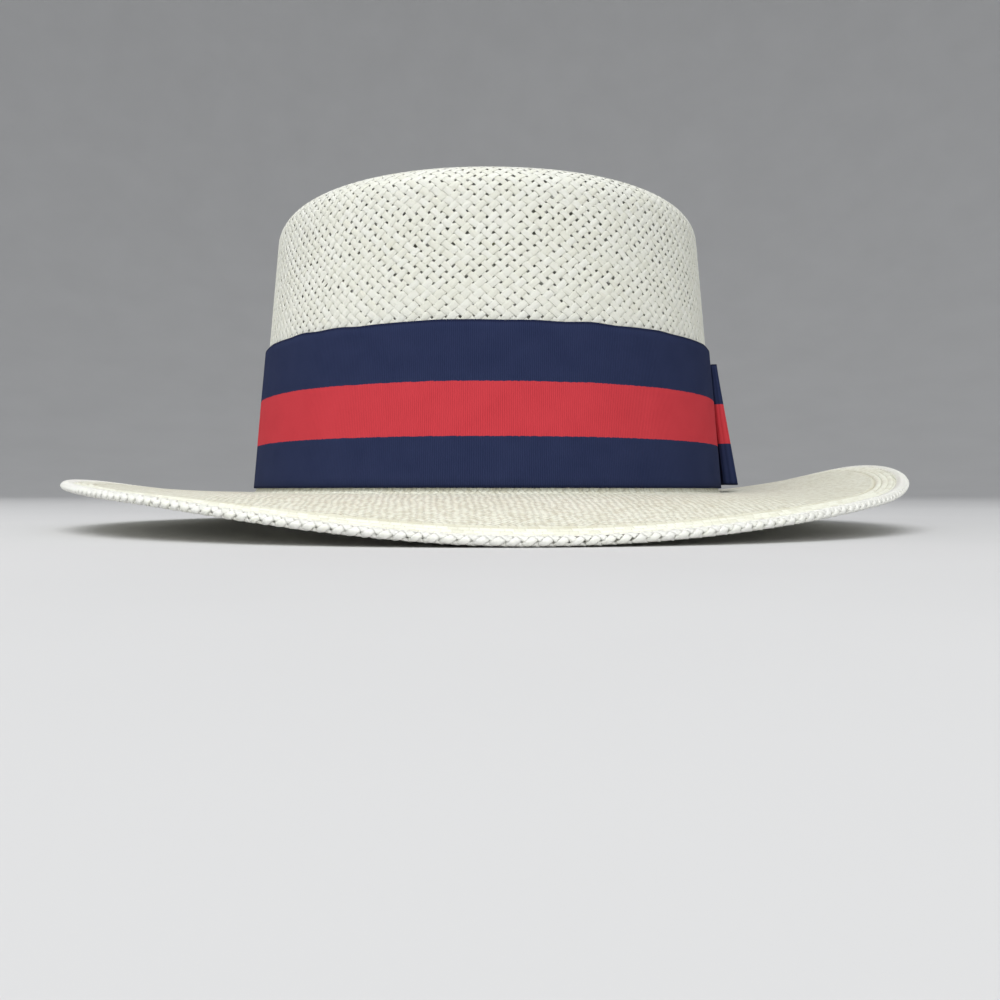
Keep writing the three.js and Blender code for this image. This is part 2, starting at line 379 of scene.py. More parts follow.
rising = strand_family(
    "crown_strands_rising", STRANDS_ROUND, WEAVE_START, ring_run(TIP_RINGS[0]), 1, 3
)
falling = strand_family(
    "crown_strands_falling", STRANDS_ROUND, WEAVE_START, ring_run(TIP_RINGS[0]), -1, 5
)
for piece in (rising, falling):
    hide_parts("crown")
    print(piece.name, triangles(piece), "triangles")

# %% [markdown]
# ## The tip: rings of weave that close towards the middle
#
# Strands that all ran to the middle of the tip would crowd there. A weaver starts at the middle with
# a few strands and adds more at each ring. So the tip is made of rings of the same weave, each
# with fewer strands than the one outside it, and a thin round of straw covers the strand
# ends between two rings. A small pressed knot closes the middle.

# %% Rings of the tip
RING_STRAND = 0.9 * MM
RING_STRANDS = [96, 64, 42, 28, 18, 12]  # strands each way in each ring, from outside in


def oval_round(name, share_of_tip):
    """A thin straw that lies round the tip and covers the ends of strands."""
    piece, _, along, round_it = cells(name, 180, 8)
    phase = FULL_TURN * round_it
    run = ring_run(share_of_tip) + RING_STRAND / 2 * 1.3 * np.cos(phase)
    out = RING_STRAND / 3 * np.sin(phase) - WEAVE_DEPTH + 0.06 * MM
    lay_uv(piece, along * 260 * share_of_tip, 0.2 * round_it)
    place_points(piece, crown_point(along, run, out))
    close_up(piece)
    return piece


tip_pieces = []
for number, count in enumerate(RING_STRANDS):
    outer, inner = TIP_RINGS[number], TIP_RINGS[number + 1]
    for way in (1, -1):
        tip_pieces.append(
            strand_family(
                f"tip_ring_{number}_{way}", count, ring_run(outer), ring_run(inner), way,
                seed=20 + 2 * number + way,
            )
        )
    tip_pieces.append(oval_round(f"tip_round_{number}", outer))

# %% The knot in the middle of the tip
STRAW_KNOT_HEIGHT = 0.55 * MM
STRAW_KNOT_RELIEF = 0.08 * MM
bpy.ops.object.select_all(action="DESELECT")
bpy.ops.mesh.primitive_uv_sphere_add(segments=32, ring_count=12, radius=1)
knot_of_straw = bpy.context.object
knot_points = points_of(knot_of_straw)
radius = np.hypot(knot_points[:, 0], knot_points[:, 1])
spiral = np.sin(5 * np.arctan2(knot_points[:, 1], knot_points[:, 0]) + 9 * radius)
relief = STRAW_KNOT_RELIEF * spiral * radius * np.sign(knot_points[:, 2])
knot_points[:, 2] = knot_points[:, 2] * STRAW_KNOT_HEIGHT + relief
knot_reach = TIP_RINGS[-1] + 0.02
knot_points[:, 0] *= knot_reach * (HEAD_HALF_WIDTH - tip_inset)
knot_points[:, 1] = knot_points[:, 1] * knot_reach * (HEAD_HALF_LENGTH - tip_inset) + crown_y
knot_points[:, 2] += crown_high[2] - WEAVE_DEPTH
place_points(knot_of_straw, knot_points)
lay_uv(knot_of_straw, knot_points[:, 0] / MM, knot_points[:, 1] / MM)
close_up(knot_of_straw)
tip_weave = join("crown_tip_weave", tip_pieces + [knot_of_straw])
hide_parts("crown")
print(tip_weave.name, triangles(tip_weave), "triangles")

# %% [markdown]
# ## The crown's foot
#
# Behind the ribbon and the sweatband the straw is covered on both sides, and a close plain sheet is
# all that it needs. It is a band round the oval with a Solidify modifier for its thickness.


# %% A band round the crown
def band(name, around, rows, low, high, out, thickness):
    """A closed band between two heights, and its corners' place round it and up it."""
    piece, _, along, across = cells(name, around, rows)
    height = low + across * (high - low)
    lay_uv(piece, along * head_round / MM, (height - low) / MM)
    place_points(piece, wall_point(along, height, out))
    close_up(piece)
    apply_modifier(piece, "SOLIDIFY", thickness=thickness, offset=0, use_even_offset=True)
    return piece


FOOT_THICKNESS = 1.2 * MM
FOOT_OVERLAP = 1.2 * MM  # how far it reaches up behind the ends of the strands
foot = band(
    "crown_foot", 200, 4, COLLAR_HEIGHT + RIBBON_GAP, WEAVE_START + FOOT_OVERLAP,
    -STRAW_THICKNESS / 2, FOOT_THICKNESS,
)
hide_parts("crown")
print(foot.name, triangles(foot), "triangles")

# %% [markdown]
# ## The brim
#
# The brim is one sheet of close weave. It leaves the crown nearly level, curls up at the sides and dips
# at front and back. A band along its edge is back-woven: its strands run parallel to the rim,
# as low ribs, and a thin ridge on the underside shows where that band begins. The curl, the ribs
# and the ridge are shape, so they are in the mesh. The weave itself has strands about a
# millimetre wide and stays with the material.

# %% Sizes of the brim
PLAIT_WIDTH = 4 * MM
PLAIT_THICKNESS = 2.8 * MM
BRIM_CURL = 20 * MM
BRIM_STRAIGHTNESS = 0.35  # share of the rise that is a straight slope
RIM_RISE = [1.0, 0.22, 0.0, 0.3, 0.7, 0.49, 0.0, 0.43]  # shares every 45 degrees from the left
EDGE_BAND = 7.5 * MM
EDGE_RIBS = 4
RIB_HEIGHT = 0.22 * MM
RIDGE_HEIGHT = 0.6 * MM
SWAY_HEIGHT = 0.35 * MM  # a real brim is never quite even
SHEET_SHARE = 0.85  # the sheet's thickness beside the solid's, so that plait and ribbon clear it


def rim_rise(angle):
    """Rise of the rim, a smooth closed curve through RIM_RISE."""
    shares = np.array(RIM_RISE)
    place = np.mod(angle / FULL_TURN * len(shares), len(shares))
    first = np.floor(place).astype(int)
    t = place - first
    a, b, c, d = (shares[(first + k) % len(shares)] for k in (-1, 0, 1, 2))
    curve = b + 0.5 * t * (c - a + t * (2 * a - 5 * b + 4 * c - d + t * (3 * (b - c) + d - a)))
    return BRIM_CURL * curve


lowest_rise = rim_rise(fine_angles).min()


def rim_centre_height(angle):
    return PLAIT_THICKNESS / 2 + rim_rise(angle) - lowest_rise


print(f"rim: {2 * rim_half_width / MM:.0f} by {2 * rim_half_length / MM:.0f} mm")


# %% The brim's skin
def brim_point(angle, reach, depth, inset=PLAIT_WIDTH):
    """A point of the brim's sheet: reach is 0 at the head line and 1 at the plait, and depth is
    the distance below its upper skin."""
    start_x, start_y = oval(
        HEAD_HALF_WIDTH, HEAD_HALF_LENGTH, OVAL_FULLNESS, angle, HEAD_LINE_RADIUS
    )
    rim_x, rim_y = oval(rim_half_width, rim_half_length, 2, angle, -inset)
    rise = rim_centre_height(angle) + STRAW_THICKNESS / 2 - head_line
    curl = BRIM_STRAIGHTNESS * reach + (1 - BRIM_STRAIGHTNESS) * reach**2
    x = start_x + (rim_x - start_x) * reach
    y = start_y + crown_y + (rim_y - start_y - crown_y) * reach
    return np.stack([x, y, head_line - depth + rise * curl], axis=-1)


def brim_width(angle):
    """Length of the sheet from the head line to the plait."""
    return np.linalg.norm(brim_point(angle, 1.0, 0) - brim_point(angle, 0.0, 0), axis=-1)


print(f"sheet at the front {brim_width(np.array([1.5 * math.pi]))[0] / MM:.1f} mm wide")

# %% The brim's sheet
COLLAR_ROWS, SHEET_ROWS, BAND_ROWS = 8, 24, 30
brim, _, along, across = cells("brim_sheet", 320, COLLAR_ROWS + SHEET_ROWS + BAND_ROWS)
brim_angle = FULL_TURN * along
row = np.round(across * (COLLAR_ROWS + SHEET_ROWS + BAND_ROWS))
width = brim_width(brim_angle)
band_start = 1 - EDGE_BAND / width
inner_reach = (row - COLLAR_ROWS) / SHEET_ROWS * band_start
outer_reach = band_start + (row - COLLAR_ROWS - SHEET_ROWS) / BAND_ROWS * (1 - band_start)
reach = np.where(row > COLLAR_ROWS + SHEET_ROWS, outer_reach, inner_reach)
sheet = brim_point(brim_angle, np.clip(reach, 0, 1), STRAW_THICKNESS / 2)
into_band = np.clip((reach - band_start) * width / EDGE_BAND, 0, 1)
ribs = RIB_HEIGHT * np.sin(FULL_TURN * EDGE_RIBS * into_band)
ridge = RIDGE_HEIGHT * np.exp(-(((reach - band_start) * width / MM - 1.0) / 0.5) ** 2)
ease = np.clip(reach / 0.15, 0, 1)
sway = SWAY_HEIGHT * ease * np.sin(math.pi * np.clip(reach, 0, 1)) * (
    np.sin(3 * brim_angle + 1) + 0.6 * np.sin(7 * brim_angle + 2)
)
sheet[:, 2] += np.where(reach > 0, ribs - ridge + sway, 0)

# %% The collar that turns up under the ribbon
collar_step = (COLLAR_ROWS - row) / COLLAR_ROWS
turn = np.clip(1 - collar_step * 2, 0, 1) * math.pi / 2
bend_radius = HEAD_LINE_RADIUS + STRAW_THICKNESS / 2
collar_height = HEAD_LINE_RADIUS - bend_radius * np.sin(turn)
collar_height += np.clip(collar_step * 2 - 1, 0, 1) * (COLLAR_HEIGHT - HEAD_LINE_RADIUS)
collar_out = bend_radius * (1 - np.cos(turn)) - STRAW_THICKNESS / 2
inward = lean_slope * collar_height
collar_x, collar_y = oval(
    HEAD_HALF_WIDTH - inward, HEAD_HALF_LENGTH - inward, OVAL_FULLNESS, brim_angle, collar_out
)
collar = np.stack([collar_x, collar_y + crown_y, head_line + collar_height], axis=-1)
place_points(brim, np.where((row < COLLAR_ROWS)[:, None], collar, sheet))
lay_uv(brim, along, np.where(row < COLLAR_ROWS, 0, into_band))
close_up(brim)
apply_modifier(brim, "SOLIDIFY", thickness=STRAW_THICKNESS * SHEET_SHARE, offset=0)
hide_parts("brim")
print(brim.name, triangles(brim), "triangles")

# %% [markdown]
# ## The plaited edge
#
# The rim is finished with a braid that wraps the edge of the sheet. Four flat strands run round
# it, two each way, over and under each other, and that gives the row of plump slanted lobes
# that shows in the light along the rim, with a dark gap between one lobe and the next.

# %% The braid's strands
LOBE_LENGTH = 3.7 * MM
BRAID_TILT = math.radians(14)  # the outer lobes face a little downwards
BRAID_SECTIONS = 14  # for each full turn of a strand round the edge
BRAID_OUT, BRAID_UP = 1.45 * MM, 0.88 * MM  # the braid's core: half its width and half its height
BRAID_CORE = 1.25 * MM  # the radius that stands for both
BRAID_STRAND_HALF = 1.2 * MM
BRAID_STRAND_LIFT = 0.44 * MM
BRAID_SWELL_SEED, BRAID_JITTER_SEED = 60, 64
rim_round_points = np.stack(oval(rim_half_width, rim_half_length, 2, fine_angles), axis=1)
rim_run = np.concatenate(
    [[0], np.cumsum(np.linalg.norm(np.diff(rim_round_points, axis=0), axis=1))]
)
rim_round = rim_run[-1]
BRAID_TURNS = round(rim_round / (2 * LOBE_LENGTH))
print(f"rim {rim_round / MM:.0f} mm round, {BRAID_TURNS} turns of each strand")


def braid_family(name, way):
    """The two strands that wind one way round the edge of the brim."""
    piece, strand, along, round_it = cells(name, BRAID_TURNS * BRAID_SECTIONS, 6, copies=2)
    turns = BRAID_TURNS * along
    jitter = wander(BRAID_JITTER_SEED + way, 2, rim_round, 4 * MM)(strand, along * rim_round)
    jitter = jitter * np.clip(0.5 - abs(along - 0.5), 0, 0.01) * 100
    theta = FULL_TURN * (way * turns + strand / 2) - BRAID_TILT + 0.14 * jitter
    phase = FULL_TURN * round_it
    swell = wander(BRAID_SWELL_SEED + way, 2, rim_round, 6 * MM)(strand, along * rim_round)
    swell = swell * np.sin(math.pi * along)
    across = np.cos(phase) * BRAID_STRAND_HALF * (1 + 0.1 * swell)
    lift = np.sin(phase) * BRAID_STRAND_LIFT
    core = 1.0 + 0.15 * way * np.cos(2 * FULL_TURN * turns)
    # a strand's width lies along the edge and round it, square to the way that it runs
    pace = 2 * LOBE_LENGTH
    wrap = FULL_TURN * BRAID_CORE
    length = math.hypot(pace, wrap)
    place = along * rim_round - way * across * wrap / length
    theta = theta + across * pace / length / BRAID_CORE
    angle = np.interp(np.mod(place, rim_round), rim_run, fine_angles)
    outward = (BRAID_OUT * core + lift) * np.cos(theta)
    upward = (BRAID_UP * core + lift) * np.sin(theta)
    x, y = oval(rim_half_width, rim_half_length, 2, angle, outward - PLAIT_WIDTH / 2)
    z = rim_centre_height(angle) + upward
    lay_uv(piece, turns * 4, strand * 1.4 + 0.2 * round_it)
    place_points(piece, np.stack([x, y, z], axis=-1))
    close_up(piece)
    return piece


braid = join("edge_braid", [braid_family("braid_one_way", 1), braid_family("braid_back", -1)])
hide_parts("edge_plait")
print(braid.name, triangles(braid), "triangles")

# %% [markdown]
# ## The ribbon
#
# The ribbon is grosgrain: close upright ribs and three stripes along it. It is pulled tight round
# the crown, so it is a smooth band, and only its upper edge wavers where it has been
# pressed by hand. Ribs and stripes follow the ribbon's own length and width, so they are
# read from its UV map, in millimetres.

# %% The band of ribbon
RIBBON_WIDTH = ribbon_high[2] - ribbon_low[2]
RIBBON_CLOTH = 0.7 * MM
EDGE_SWAY, CRINKLE = 0.28 * MM, 0.13 * MM
EDGE_SEED, CRINKLE_SEED = 70, 71
WAVE_RUN = 590  # millimetres of ribbon that the waves are spread over
ribbon, _, along, across = cells("ribbon_cloth", 420, 16)
puckers = wander(EDGE_SEED, 1, 600, 9)
edge_sway = EDGE_SWAY * puckers(0 * along, WAVE_RUN * along) * np.sin(math.pi * along)
height = HEAD_LINE_RADIUS + across * RIBBON_WIDTH + edge_sway * across**3
crinkle = wander(CRINKLE_SEED, 4, 600, 5)(np.floor(across * 3.99), WAVE_RUN * along)
waves = np.clip(CRINKLE * crinkle, -0.2 * MM, 0.35 * MM)
waves = waves * np.sin(math.pi * along) * np.sin(math.pi * across * 0.97)
out = RIBBON_GAP + RIBBON_CLOTH / 2 + waves
lay_uv(ribbon, along * head_round / MM, across * RIBBON_WIDTH / MM)
place_points(ribbon, wall_point(along, height, out))
close_up(ribbon)
apply_modifier(ribbon, "SOLIDIFY", thickness=RIBBON_CLOTH, offset=0)
apply_modifier(ribbon, "BEVEL", width=0.12 * MM, segments=1, limit_method="ANGLE")
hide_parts("ribbon_band")
print(ribbon.name, triangles(ribbon), "triangles")

# %% [markdown]
# ## The bow
#
# The flat bow sits on the wearer's left. One length of the same ribbon is folded into a flat ring and
# pinched in the middle, and a short piece is wrapped over the pinch. The loops are drawn as a
# path seen from above, the ribbon's width is laid across that path, and the gathers under the
# knot fade out towards the ends.

# %% Where the bow lies
BOW_LENGTH = 84 * MM
BOW_MARGIN = 1 * MM
BOW_CENTRE = math.radians(13)  # behind the wearer's left
BOW_PUFF = 2.4 * MM
BOW_FLARE = 4.4 * MM
BOW_PINCH = 0.22
PINCH_REACH = 15 * MM
KNOT_WIDTH = 17 * MM
RIBBON_THICKNESS = 1 * MM  # room that each layer of the bow takes
bow_middle = HEAD_LINE_RADIUS + RIBBON_WIDTH / 2
bow_half = RIBBON_WIDTH / 2 - BOW_MARGIN
bow_share = np.interp(BOW_CENTRE, fine_angles, fine_run) / head_round
layer = RIBBON_THICKNESS + RIBBON_GAP
knot_back = RIBBON_GAP + RIBBON_THICKNESS / 2
loop_back = knot_back + layer
loop_front = loop_back + layer
knot_front = loop_front + layer
ribbon_round = head_round - FULL_TURN * lean_slope * bow_middle


def on_ribbon(along, up, out):
    """A point off the ribbon's face: along from the knot towards the back, up from its middle."""
    share = bow_share + along / ribbon_round
    return wall_point(share, bow_middle + up, RIBBON_GAP + RIBBON_THICKNESS + out)


print(f"bow {BOW_LENGTH / MM:.0f} mm long, {2 * bow_half / MM:.1f} mm high")

# %% The loops' path
fold_radius = layer / 2
loop_reach = BOW_LENGTH / 2 - fold_radius - RIBBON_THICKNESS / 2


def front_layer(along):
    share = (np.abs(along) - KNOT_WIDTH / 2) / (loop_reach - KNOT_WIDTH / 2)
    return loop_front + BOW_PUFF * np.sin(math.pi * np.clip(share, 0, 1) ** 0.85) ** 2


fold_turns = np.linspace(-math.pi / 2, math.pi / 2, 9)[1:-1]
back_along = np.linspace(-loop_reach, loop_reach, 61)
front_along = np.linspace(loop_reach, -loop_reach, 81)
path_along = np.concatenate([
    back_along,
    loop_reach + fold_radius * np.cos(fold_turns),
    front_along,
    -loop_reach - fold_radius * np.cos(fold_turns),
    back_along[:1],
])
path_out = np.concatenate([
    0 * back_along + loop_back,
    loop_back + fold_radius * (1 + np.sin(fold_turns)),
    front_layer(front_along),
    loop_back + fold_radius * (1 - np.sin(fold_turns)),
    [loop_back],
])
path_run = np.concatenate([[0], np.cumsum(np.hypot(np.diff(path_along), np.diff(path_out)))])
on_front = np.clip((path_out - loop_back) / layer, 0, 1)
print(f"ribbon in the loops: {path_run[-1] / MM:.0f} mm")

# %% The loops
GATHER_DEPTH, GATHER_REACH = 0.55 * MM, 11 * MM
FACE_SAG = 0.5 * MM
steps = len(path_along) - 1
loops_cloth, _, along, across = cells("bow_cloth", steps, 24)
index = np.round(along * steps).astype(int)
side = 2 * across - 1
here = path_along[index]
half = bow_half * (1 - BOW_PINCH * np.exp(-((here / PINCH_REACH) ** 2)))
near_knot = np.exp(-((here / GATHER_REACH) ** 2))
gather = GATHER_DEPTH * near_knot * np.cos(5 * math.pi * side) * on_front[index]
under_knot = np.exp(-((here / (7 * MM)) ** 4))
flare = BOW_FLARE * np.abs(here / (BOW_LENGTH / 2)) ** 3 * ((1 - side) / 2) ** 1.5
flare = flare * (0.3 + 0.7 * on_front[index]) + FACE_SAG * on_front[index]
sag = FACE_SAG * on_front[index] * (1 - near_knot) * (1 - side**2)
out = path_out[index] + gather * (1 - 0.8 * under_knot) + flare + sag
lay_uv(loops_cloth, path_run[index] / MM, across * RIBBON_WIDTH / MM)
place_points(loops_cloth, on_ribbon(here, side * half * 0.985, out))
close_up(loops_cloth)
apply_modifier(loops_cloth, "SOLIDIFY", thickness=RIBBON_CLOTH, offset=0)
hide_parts("bow_loops")
print(loops_cloth.name, triangles(loops_cloth), "triangles")

# %% The knot
knot_half = bow_half * (1 - BOW_PINCH * math.exp(-((KNOT_WIDTH / 2 / PINCH_REACH) ** 2)))
knot_half += 2 * RIBBON_GAP + RIBBON_THICKNESS / 2
knot_middle = (knot_back + knot_front) / 2
knot_depth = (knot_front - knot_back) / 2
KNOT_PLEATS, KNOT_ROUNDING = 0.22 * MM, 0.5 * MM
knot_cloth, _, along, across = cells("knot_cloth", 72, 14)
theta = FULL_TURN * along
flat_round = np.abs(np.cos(theta)) ** 0.22 * np.sign(np.cos(theta))
up = knot_half * np.sign(np.sin(theta)) * np.abs(np.sin(theta)) ** 0.55
side = 2 * across - 1
waist = 1 - 0.1 * np.cos(math.pi * np.clip(up / knot_half, -1, 1) / 2) * (flat_round > 0)
outer_face = np.clip(flat_round, 0, 1)
pleats = KNOT_PLEATS * np.cos(3 * math.pi * side) * (flat_round > 0.2) * outer_face
rounding = KNOT_ROUNDING * (1 - side**2) * outer_face
out = knot_middle + knot_depth * flat_round + pleats + rounding
lay_uv(
    knot_cloth, along * (4 * knot_half) / MM,
    RIBBON_WIDTH / 2 / MM + side * KNOT_WIDTH / 2 / MM,
)
place_points(knot_cloth, on_ribbon(side * waist * KNOT_WIDTH / 2, up, out))
close_up(knot_cloth)
apply_modifier(knot_cloth, "SOLIDIFY", thickness=RIBBON_CLOTH, offset=0)
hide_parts("bow_knot")
print(knot_cloth.name, triangles(knot_cloth), "triangles")

# %% [markdown]
# ## The sweatband
#
# Inside the opening a plain woven band keeps the straw off the wearer's forehead. It is sewn to the
# hat along its lower edge, and its stitches show as a row of short threads. One stitch is a
# small bent rod, and the others are copies of it round the band.

# %% The band inside
band_low, band_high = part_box("sweatband")
band_foot = band_low[2] - head_line
band_top = band_high[2] - head_line
SWEATBAND_ROOM = 1.2 * MM  # thickness of its solid
SWEATBAND_CLOTH = 1.1 * MM
band_middle = -(STRAW_THICKNESS + RIBBON_GAP + SWEATBAND_ROOM / 2)
sweatband = band(
    "sweatband_cloth", 260, 8, band_foot, band_top, band_middle, SWEATBAND_CLOTH
)
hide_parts("sweatband")
print(sweatband.name, triangles(sweatband), "triangles")

# %% Its stitches
STITCHES = 190
THREAD_RADIUS = 0.22 * MM
SEAM_HEIGHT = 3 * MM  # above the sweatband's lower edge
stitches, stitch, along, round_it = cells("sweatband_stitches", 6, 6, copies=STITCHES)
phase = FULL_TURN * round_it
ends = (along > 0.01) & (along < 0.99)
thickness = THREAD_RADIUS * np.sin(math.pi * np.clip(along, 0.12, 0.88)) ** 0.5 * ends
share = (stitch + 0.15 + 0.7 * along) / STITCHES
height = band_foot + SEAM_HEIGHT + 0.5 * MM * (along - 0.5) + thickness * np.cos(phase)
lift = 0.25 * MM * np.sin(math.pi * along) + thickness * np.sin(phase)
out = band_middle - SWEATBAND_CLOTH / 2 - lift
lay_uv(stitches, stitch + along, round_it)
place_points(stitches, wall_point(share, height, out))
close_up(stitches)
print(stitches.name, triangles(stitches), "triangles")

# %% [markdown]
# ## Finishes
#
# A material here is a few small ideas wired together: where a point lies in the pattern, a
# height for the bump, and a colour that follows it. The helper below keeps the wiring short.
# Values that are the same all over a surface are set on the shader's own sockets.


# %% A short way to wire nodes
class Finish:
    """A material with its shader and short calls for the nodes that feed it."""

    def __init__(self, name, roughness, sheen=0.0, specular=0.5, subsurface=0.0):
        self.material = bpy.data.materials.new(name)
        self.material.use_nodes = True
        self.nodes = self.material.node_tree.nodes
        self.links = self.material.node_tree.links
        self.shader = self.nodes["Principled BSDF"]
        self.shader.inputs["Roughness"].default_value = roughness
        self.shader.inputs["Specular IOR Level"].default_value = specular
        self.shader.inputs["Sheen Weight"].default_value = sheen
        self.shader.inputs["Sheen Roughness"].default_value = 0.4
        if subsurface:
            self.shader.inputs["Subsurface Weight"].default_value = subsurface
            self.shader.inputs["Subsurface Radius"].default_value = (1.0, 1.0, 1.0)
            self.shader.inputs["Subsurface Scale"].default_value = 0.8 * MM

    def add(self, kind, inputs=(), **settings):
        """Adds a node, sets its options, and links or sets its inputs in order."""
        node = self.nodes.new(kind)
        for key, value in settings.items():
            setattr(node, key, value)
        for socket, value in dict(inputs).items():
            self.feed(node.inputs[socket], value)
        return node

    def feed(self, socket, value):
        if isinstance(value, bpy.types.NodeSocket):
            self.links.new(value, socket)
        else:
            socket.default_value = value

    def math(self, operation, first, second=0.0):
        node = self.add("ShaderNodeMath", {0: first, 1: second}, operation=operation)
        return node.outputs[0]

    def plus(self, first, second):
        return self.math("ADD", first, second)

    def minus(self, first, second):
        return self.math("SUBTRACT", first, second)

    def times(self, first, second):
        return self.math("MULTIPLY", first, second)

    def distance(self, first, second):
        return self.math("ABSOLUTE", self.minus(first, second))

    def rounded(self, place, flatness):
        """1 in the middle of each strand and 0 between two, flatter with a larger flatness."""
        off_middle = self.distance(self.math("FRACT", place), 0.5)
        return self.minus(1.0, self.math("POWER", self.times(off_middle, 2.0), flatness))

    def uv(self):
        place = self.add("ShaderNodeUVMap", uv_map="UVMap")
        parts = self.add("ShaderNodeSeparateXYZ", {0: place.outputs[0]})
        return parts.outputs[0], parts.outputs[1]

    def object_place(self):
        place = self.add("ShaderNodeTexCoord")
        parts = self.add("ShaderNodeSeparateXYZ", {0: place.outputs["Object"]})
        return parts.outputs[0], parts.outputs[1], parts.outputs[2]

    def point(self, x, y, z=0.0):
        return self.add("ShaderNodeCombineXYZ", {0: x, 1: y, 2: z}).outputs[0]

    def noise(self, place, scale, detail=3.0):
        node = self.add(
            "ShaderNodeTexNoise", {"Vector": place, "Scale": scale, "Detail": detail}
        )
        return node.outputs["Fac"]

    def grain(self, u, along, v, across, detail):
        """Noise on the pattern's two lengths, each with a scale of its own."""
        return self.noise(self.point(self.times(u, along), self.times(v, across)), 1.0, detail)

    def blend(self, factor, first, second):
        node = self.add("ShaderNodeMix", data_type="RGBA")
        self.feed(node.inputs["Factor"], factor)
        self.feed(node.inputs[6], first)
        self.feed(node.inputs[7], second)
        return node.outputs[2]

    def ramp(self, value, low, high, out_low=0.0, out_high=1.0):
        node = self.add(
            "ShaderNodeMapRange",
            {"Value": value, "From Min": low, "From Max": high, "To Min": out_low,
             "To Max": out_high},
            interpolation_type="SMOOTHSTEP",
        )
        return node.outputs[0]

    def finish(self, colour, height=None, distance=0.2 * MM, strength=1.0):
        self.feed(self.shader.inputs["Base Color"], colour)
        if height is not None:
            bump = self.add("ShaderNodeBump", {"Height": height, "Strength": strength})
            bump.inputs["Distance"].default_value = distance
            self.links.new(bump.outputs[0], self.shader.inputs["Normal"])
        return self.material


def dress(pieces, finish):
    for piece in pieces:
        piece.data.materials.clear()
        piece.data.materials.append(finish)
        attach(piece, "root")


# %% [markdown]
# ## Straw
#
# A straw strand is ivory, a little glossy, and streaked along its length. Its UV map counts the
# crossings along it and gives each strand a number of its own, so streaks stretch along the
# strand and neighbours differ slightly in colour. Shade is painted in patches into the gaps
# between the plait's lobes, deepest along a stretch of the rim at the front.

# %% Strands of the crown and the plait
IVORY = (0.83, 0.835, 0.70, 1)
IVORY_LIGHT = (0.90, 0.91, 0.80, 1)
IVORY_WARM = (0.78, 0.76, 0.60, 1)


def straw_strands(name, light, base, roughness, painted_gap_shade=None):
    straw = Finish(name, roughness, specular=0.3, subsurface=0.5)
    u, v = straw.uv()
    streak = straw.grain(u, 0.22, v, 30.0, 4.0)
    fibre = straw.grain(u, 0.6, v, 110.0, 2.0)
    own = straw.grain(u, 0.03, v, 1.1, 1.0)
    colour = straw.blend(straw.ramp(own, 0.3, 0.7), base, light)
    colour = straw.blend(straw.ramp(streak, 0.52, 0.85, 0.0, 0.55), colour, IVORY_WARM)
    # painted shade in the gaps between the plait's lobes, for a finish that asks for it
    if painted_gap_shade:
        colour = painted_gap_shade(straw, v, colour)
    height = straw.plus(fibre, straw.times(streak, 1.5))
    return straw.finish(colour, height, 0.09 * MM, 0.8)


# the painted shade between the plait's lobes is deepest along this stretch of the rim
GAP_SHADE_MIDDLE = 20 * MM  # a stretch of the rim at the front, on the wearer's left
GAP_SHADE_REACH = 20 * MM
# colour of the painted shade between the lobes
PAINTED_GAP_SHADE = (0.09, 0.085, 0.065, 1)


def plait_painted_gap_shade(straw, v, colour):
    """Painted shade along the sides of some lobes, where ten times v is a whole number."""
    x, y, z = straw.object_place()
    part = straw.math("FRACT", straw.times(v, 10.0))
    lobe_side = straw.ramp(straw.distance(part, 0.5), 0.26, 0.45)
    spots = straw.ramp(straw.noise(straw.point(x, y, z), 240.0, 2.0), 0.42, 0.52)
    # the painted shade is deeper along the stretch at the front
    off_middle = straw.distance(x, GAP_SHADE_MIDDLE)
    front_stretch = straw.times(
        straw.ramp(off_middle, GAP_SHADE_REACH, GAP_SHADE_REACH / 2),
        straw.ramp(y, 0.0, -rim_half_length / 2),
    )
    amount = straw.plus(straw.times(front_stretch, 0.65), 0.2)
    amount = straw.times(amount, straw.times(lobe_side, spots))
    return straw.blend(amount, colour, PAINTED_GAP_SHADE)


crown_straw = straw_strands("crown_straw", IVORY_LIGHT, IVORY, 0.5)
plait_straw = straw_strands(
    "plait_straw", (0.90, 0.90, 0.83, 1), IVORY_LIGHT, 0.45, painted_gap_shade=plait_painted_gap_shade
)
dress([rising, falling, tip_weave, foot], crown_straw)
dress([braid], plait_straw)
print("straw strands dressed")

# %% [markdown]
# ## The brim's close weave
#
# The brim's weave is a plain weave of narrow strands, laid slantwise like the crown's. Two sets of
# slanting coordinates are cut into cells, and in each cell the sum of the two cell numbers
# says which strand lies on top. Each short visible length of straw has a tone of its own. Along
# the rim the pattern gives way to strands that run round the edge. Shade is painted into the
# crevices between strands, and as a soft dark line along the ridge where the edge band begins.

# %% The close weave
CELL_HALF_WIDTH, CELL_HALF_HEIGHT = 0.897 * MM, 0.736 * MM  # one crossing of the weave
LENGTHS_ROUND = 330.0  # visible lengths of straw in one turn of the edge band
RIDGE_PLACE, RIDGE_REACH = 0.135, 0.17  # shares of the edge band
# a darker straw: the random tone of some lengths, and the painted shade in the crevices
DARK_STRAW_AND_CREVICE_SHADE = (0.58, 0.55, 0.41, 1)
# colour of the painted shade along the ridge
PAINTED_RIDGE_SHADE = (0.47, 0.43, 0.29, 1)


